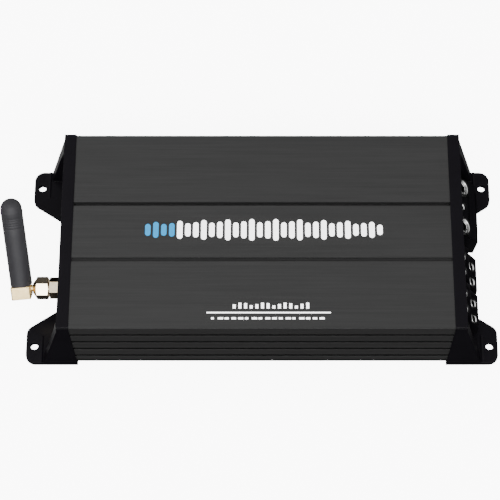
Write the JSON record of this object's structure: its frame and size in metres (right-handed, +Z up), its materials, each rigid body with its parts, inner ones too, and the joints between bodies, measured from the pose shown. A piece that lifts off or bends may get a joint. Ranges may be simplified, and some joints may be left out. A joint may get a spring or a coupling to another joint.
{
  "type": "car amplifier",
  "caption": "Compact car audio amplifier: finned dark aluminium body, black end caps with bolt-down feet, screw terminals and a swivel antenna.",
  "frame": {"origin": "centre of the four mounting holes, on the plane that the feet stand on", "axes": "+X towards the end with the power and speaker terminals, +Y towards the rear, +Z up"},
  "size_m": [0.297, 0.1316, 0.0663],
  "materials": {
    "body_aluminium": "dark grey anodised, fine brushed along the length",
    "plated_steel": "zinc plated",
    "black_steel": "black zinc",
    "panel_steel": "satin black powder coat",
    "cap_plastic": "moulded, fine texture",
    "terminal_plastic": "moulded, satin",
    "jack_plastic": "moulded",
    "socket_nylon": "natural nylon",
    "knob_plastic": "moulded",
    "gold_plate": "gold plated, polished",
    "screw_nickel": "nickel plated",
    "tinned_metal": "tinned",
    "part_metal": "stamped",
    "led_lens": "tinted, clear",
    "antenna_rubber": "matt moulded",
    "fuse_plastic": "tinted translucent",
    "board_laminate": "solder mask",
    "ferrite": "matt",
    "copper_wire": "enamelled copper",
    "capacitor_sleeve": "shrink sleeve",
    "thermal_silicone": "matt"
  },
  "bodies": {
    "casing": {"heatsink_housing": "body_aluminium", "bottom_plate": "plated_steel", "input_end_cap": "cap_plastic", "output_end_cap": "cap_plastic", "end_cap_screws": "black_steel", "bottom_screws": "black_steel", "input_panel": "panel_steel", "rca_insulators": "jack_plastic", "rca_shells": "gold_plate", "rca_contacts": "gold_plate", "high_level_socket": "socket_nylon", "high_level_pins": "tinned_metal", "potentiometers": "part_metal", "slide_switch_bodies": "part_metal", "status_led": "led_lens", "sma_jack": "gold_plate", "sma_lock_nut": "gold_plate", "power_terminal_block": "terminal_plastic", "power_barrels": "tinned_metal", "remote_barrel": "tinned_metal", "speaker_block_rear": "terminal_plastic", "speaker_block_front": "terminal_plastic", "speaker_contacts": "tinned_metal", "fuse_holder": "terminal_plastic", "fuse_clips": "tinned_metal", "main_board": "board_laminate", "board_standoffs": "plated_steel", "board_screws": "plated_steel", "toroid_core": "ferrite", "toroid_winding": "copper_wire", "large_capacitors": "capacitor_sleeve", "small_capacitors": "capacitor_sleeve", "power_transistors": "terminal_plastic", "thermal_pads": "thermal_silicone", "transistor_clamps": "part_metal", "output_inductors": "ferrite", "wireless_module": "board_laminate", "antenna_pigtail": "antenna_rubber"},
    "front_gain_control": {"front_gain_knob": "knob_plastic"},
    "rear_gain_control": {"rear_gain_knob": "knob_plastic"},
    "crossover_control": {"crossover_knob": "knob_plastic"},
    "bass_control": {"bass_knob": "knob_plastic"},
    "mode_lever": {"mode_switch_lever": "knob_plastic"},
    "input_lever": {"input_switch_lever": "knob_plastic"},
    "antenna": {"antenna_elbow": "gold_plate", "antenna_sleeve": "antenna_rubber"},
    "antenna_nut_ring": {"antenna_nut": "gold_plate"},
    "battery_screw": {"battery_clamp_screw": "screw_nickel"},
    "remote_screw": {"remote_clamp_screw": "screw_nickel"},
    "ground_screw": {"ground_clamp_screw": "screw_nickel"},
    "fuse": {"fuse_body": "fuse_plastic", "fuse_blades": "tinned_metal"},
    "terminal_screw_1": {"speaker_screw_1": "screw_nickel"},
    "terminal_screw_2": {"speaker_screw_2": "screw_nickel"},
    "terminal_screw_3": {"speaker_screw_3": "screw_nickel"},
    "terminal_screw_4": {"speaker_screw_4": "screw_nickel"},
    "terminal_screw_5": {"speaker_screw_5": "screw_nickel"},
    "terminal_screw_6": {"speaker_screw_6": "screw_nickel"},
    "terminal_screw_7": {"speaker_screw_7": "screw_nickel"},
    "terminal_screw_8": {"speaker_screw_8": "screw_nickel"}
  },
  "joints": [
    {"name": "antenna_swing", "type": "hinge", "parent": "casing", "child": "antenna", "pos_m": [-0.1437, -0.0265, 0.025], "axis": [1, 0, 0], "range_deg": [-45, 135]},
    {"name": "antenna_nut_spin", "type": "hinge", "parent": "casing", "child": "antenna_nut_ring", "pos_m": [-0.133, -0.0265, 0.025], "axis": [1, 0, 0], "continuous": true},
    {"name": "front_gain_turn", "type": "hinge", "parent": "casing", "child": "front_gain_control", "pos_m": [-0.117, 0.005, 0.0325], "axis": [-1, 0, 0], "range_deg": [-140, 140]},
    {"name": "rear_gain_turn", "type": "hinge", "parent": "casing", "child": "rear_gain_control", "pos_m": [-0.117, -0.008, 0.0325], "axis": [-1, 0, 0], "range_deg": [-140, 140]},
    {"name": "crossover_turn", "type": "hinge", "parent": "casing", "child": "crossover_control", "pos_m": [-0.117, 0.005, 0.0155], "axis": [-1, 0, 0], "range_deg": [-140, 140]},
    {"name": "bass_turn", "type": "hinge", "parent": "casing", "child": "bass_control", "pos_m": [-0.117, -0.008, 0.0155], "axis": [-1, 0, 0], "range_deg": [-140, 140]},
    {"name": "mode_slide", "type": "slide", "parent": "casing", "child": "mode_lever", "axis": [0, 1, 0], "range_m": [0, 0.004]},
    {"name": "input_slide", "type": "slide", "parent": "casing", "child": "input_lever", "axis": [0, 1, 0], "range_m": [0, 0.004]},
    {"name": "fuse_pull", "type": "slide", "parent": "casing", "child": "fuse", "axis": [1, 0, 0], "range_m": [0, 0.024]},
    {"name": "battery_screw_turn", "type": "hinge", "parent": "casing", "child": "battery_screw", "pos_m": [0.12251, 0.0408, 0.0285], "axis": [0.7295, 0, 0.6839], "continuous": true},
    {"name": "remote_screw_turn", "type": "hinge", "parent": "casing", "child": "remote_screw", "pos_m": [0.12251, 0.0275, 0.0285], "axis": [0.7295, 0, 0.6839], "continuous": true},
    {"name": "ground_screw_turn", "type": "hinge", "parent": "casing", "child": "ground_screw", "pos_m": [0.12251, 0.0142, 0.0285], "axis": [0.7295, 0, 0.6839], "continuous": true},
    {"name": "terminal_screw_1_turn", "type": "hinge", "parent": "casing", "child": "terminal_screw_1", "pos_m": [0.12708, -0.00907, 0.019], "axis": [0.8485, 0, 0.5292], "continuous": true},
    {"name": "terminal_screw_2_turn", "type": "hinge", "parent": "casing", "child": "terminal_screw_2", "pos_m": [0.12708, -0.01923, 0.019], "axis": [0.8485, 0, 0.5292], "continuous": true},
    {"name": "terminal_screw_3_turn", "type": "hinge", "parent": "casing", "child": "terminal_screw_3", "pos_m": [0.12708, -0.03377, 0.019], "axis": [0.8485, 0, 0.5292], "continuous": true},
    {"name": "terminal_screw_4_turn", "type": "hinge", "parent": "casing", "child": "terminal_screw_4", "pos_m": [0.12708, -0.04393, 0.019], "axis": [0.8485, 0, 0.5292], "continuous": true},
    {"name": "terminal_screw_5_turn", "type": "hinge", "parent": "casing", "child": "terminal_screw_5", "pos_m": [0.12122, -0.00907, 0.0333], "axis": [0.8485, 0, 0.5292], "continuous": true},
    {"name": "terminal_screw_6_turn", "type": "hinge", "parent": "casing", "child": "terminal_screw_6", "pos_m": [0.12122, -0.01923, 0.0333], "axis": [0.8485, 0, 0.5292], "continuous": true},
    {"name": "terminal_screw_7_turn", "type": "hinge", "parent": "casing", "child": "terminal_screw_7", "pos_m": [0.12122, -0.03377, 0.0333], "axis": [0.8485, 0, 0.5292], "continuous": true},
    {"name": "terminal_screw_8_turn", "type": "hinge", "parent": "casing", "child": "terminal_screw_8", "pos_m": [0.12122, -0.04393, 0.0333], "axis": [0.8485, 0, 0.5292], "continuous": true}
  ]
}
